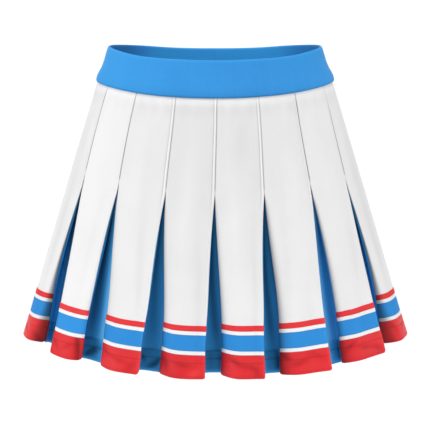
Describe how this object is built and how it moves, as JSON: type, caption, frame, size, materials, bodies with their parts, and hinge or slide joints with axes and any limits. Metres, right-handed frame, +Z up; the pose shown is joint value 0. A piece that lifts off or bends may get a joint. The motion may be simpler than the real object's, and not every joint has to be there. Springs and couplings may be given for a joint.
{
  "type": "cheerleading skirt",
  "caption": "Short box-pleated skirt with a flared knit waistband, white pleat faces over blue insets, and striped hems with red bands, filled out as if worn.",
  "frame": {"origin": "middle of the waist, half way down the waistband, where the wearer holds the skirt up", "axes": "+Z up, -Y the front, +X the wearer's left"},
  "size_m": [0.433, 0.2514, 0.3447],
  "materials": {
    "waistband_knit": "matt fine-ribbed double knit",
    "white_cloth": "matt smooth double knit",
    "blue_cloth": "matt smooth double knit",
    "red_cloth": "soft satin-faced knit"
  },
  "bodies": {
    "root": {"waistband": "waistband_knit", "white_face_01": "white_cloth", "hem_band_01": "red_cloth", "blue_inset_01": "blue_cloth", "white_face_02": "white_cloth", "hem_band_02": "red_cloth", "blue_inset_02": "blue_cloth", "white_face_03": "white_cloth", "hem_band_03": "red_cloth", "blue_inset_03": "blue_cloth", "white_face_04": "white_cloth", "hem_band_04": "red_cloth", "blue_inset_04": "blue_cloth", "white_face_05": "white_cloth", "hem_band_05": "red_cloth", "blue_inset_05": "blue_cloth", "white_face_06": "white_cloth", "hem_band_06": "red_cloth", "blue_inset_06": "blue_cloth", "white_face_07": "white_cloth", "hem_band_07": "red_cloth", "blue_inset_07": "blue_cloth", "white_face_08": "white_cloth", "hem_band_08": "red_cloth", "blue_inset_08": "blue_cloth", "white_face_09": "white_cloth", "hem_band_09": "red_cloth", "blue_inset_09": "blue_cloth", "white_face_10": "white_cloth", "hem_band_10": "red_cloth", "blue_inset_10": "blue_cloth", "white_face_11": "white_cloth", "hem_band_11": "red_cloth", "blue_inset_11": "blue_cloth", "white_face_12": "white_cloth", "hem_band_12": "red_cloth", "blue_inset_12": "blue_cloth", "white_face_13": "white_cloth", "hem_band_13": "red_cloth", "blue_inset_13": "blue_cloth", "white_face_14": "white_cloth", "hem_band_14": "red_cloth", "blue_inset_14": "blue_cloth", "white_face_15": "white_cloth", "hem_band_15": "red_cloth", "blue_inset_15": "blue_cloth", "white_face_16": "white_cloth", "hem_band_16": "red_cloth", "blue_inset_16": "blue_cloth"}
  },
  "joints": []
}
